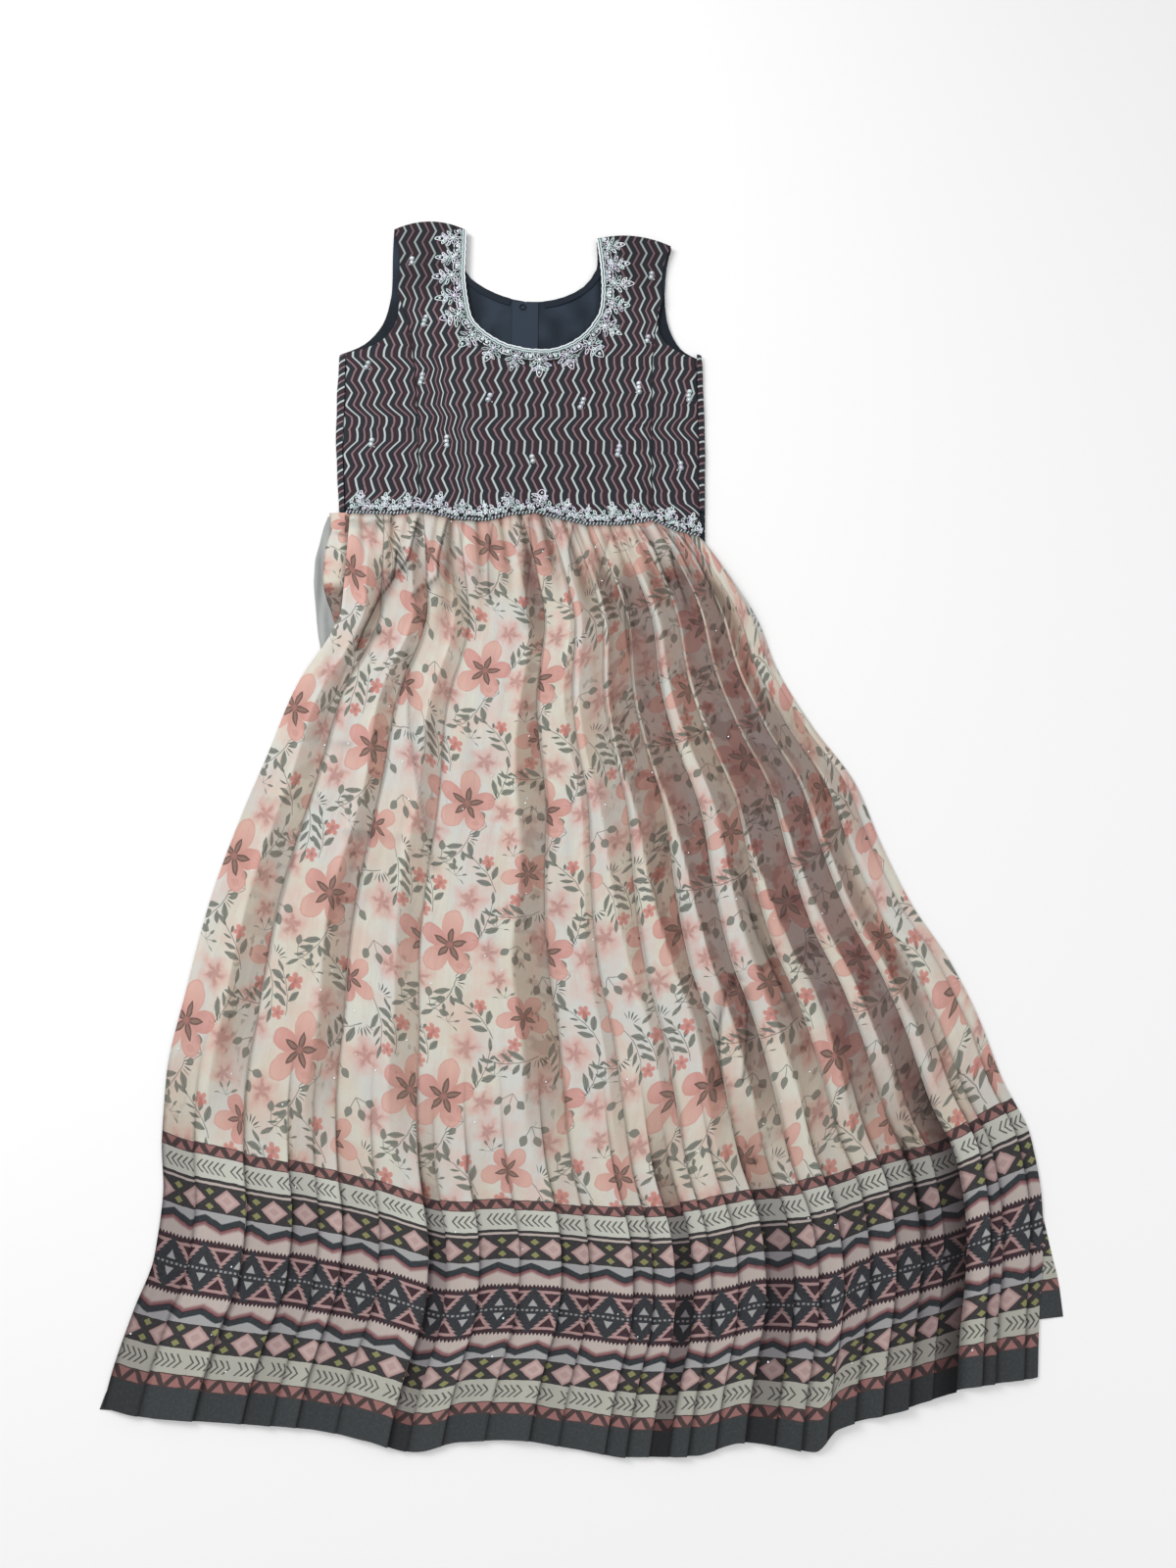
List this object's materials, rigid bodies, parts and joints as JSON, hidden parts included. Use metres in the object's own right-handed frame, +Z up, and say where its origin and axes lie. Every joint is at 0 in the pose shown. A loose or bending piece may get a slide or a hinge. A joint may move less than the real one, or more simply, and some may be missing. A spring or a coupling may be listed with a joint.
{
  "type": "anarkali gown",
  "caption": "Sleeveless anarkali gown laid flat, with a zigzag printed bodice, embroidered neck and waist trims, and a pleated floral skirt with a border.",
  "frame": {"origin": "on the surface the gown lies on, under the middle of its footprint", "axes": "+X across the gown, to the right of someone who looks down at its front with the shoulders at the top; +Y from the hem to the shoulders; +Z up, out of its front"},
  "size_m": [0.886, 1.3155, 0.0098],
  "materials": {
    "bodice_print": "dark charcoal woven cloth with pale and mauve zigzag stripes, soft and matt",
    "lining_dark": "plain black lining with a faint satin sheen",
    "skirt_print": "thin cream cloth with a coral flower print and a dark geometric border",
    "lining_pale": "plain pale grey lining",
    "embroidery": "silver beads, sequins and cord on net",
    "thread": "black twisted thread"
  },
  "bodies": {
    "root": {"bodice_front_center": "bodice_print", "bodice_front_left": "bodice_print", "bodice_front_right": "bodice_print", "bodice_back_left": "bodice_print", "bodice_back_right": "bodice_print", "lining_back_left": "lining_dark", "lining_back_right": "lining_dark", "facing_back_left": "lining_dark", "facing_back_right": "lining_dark", "placket": "lining_dark", "neck_loop": "thread", "neck_trim": "embroidery", "waist_trim": "embroidery", "skirt_front": "skirt_print", "skirt_back": "skirt_print", "skirt_lining": "lining_pale"}
  },
  "joints": []
}
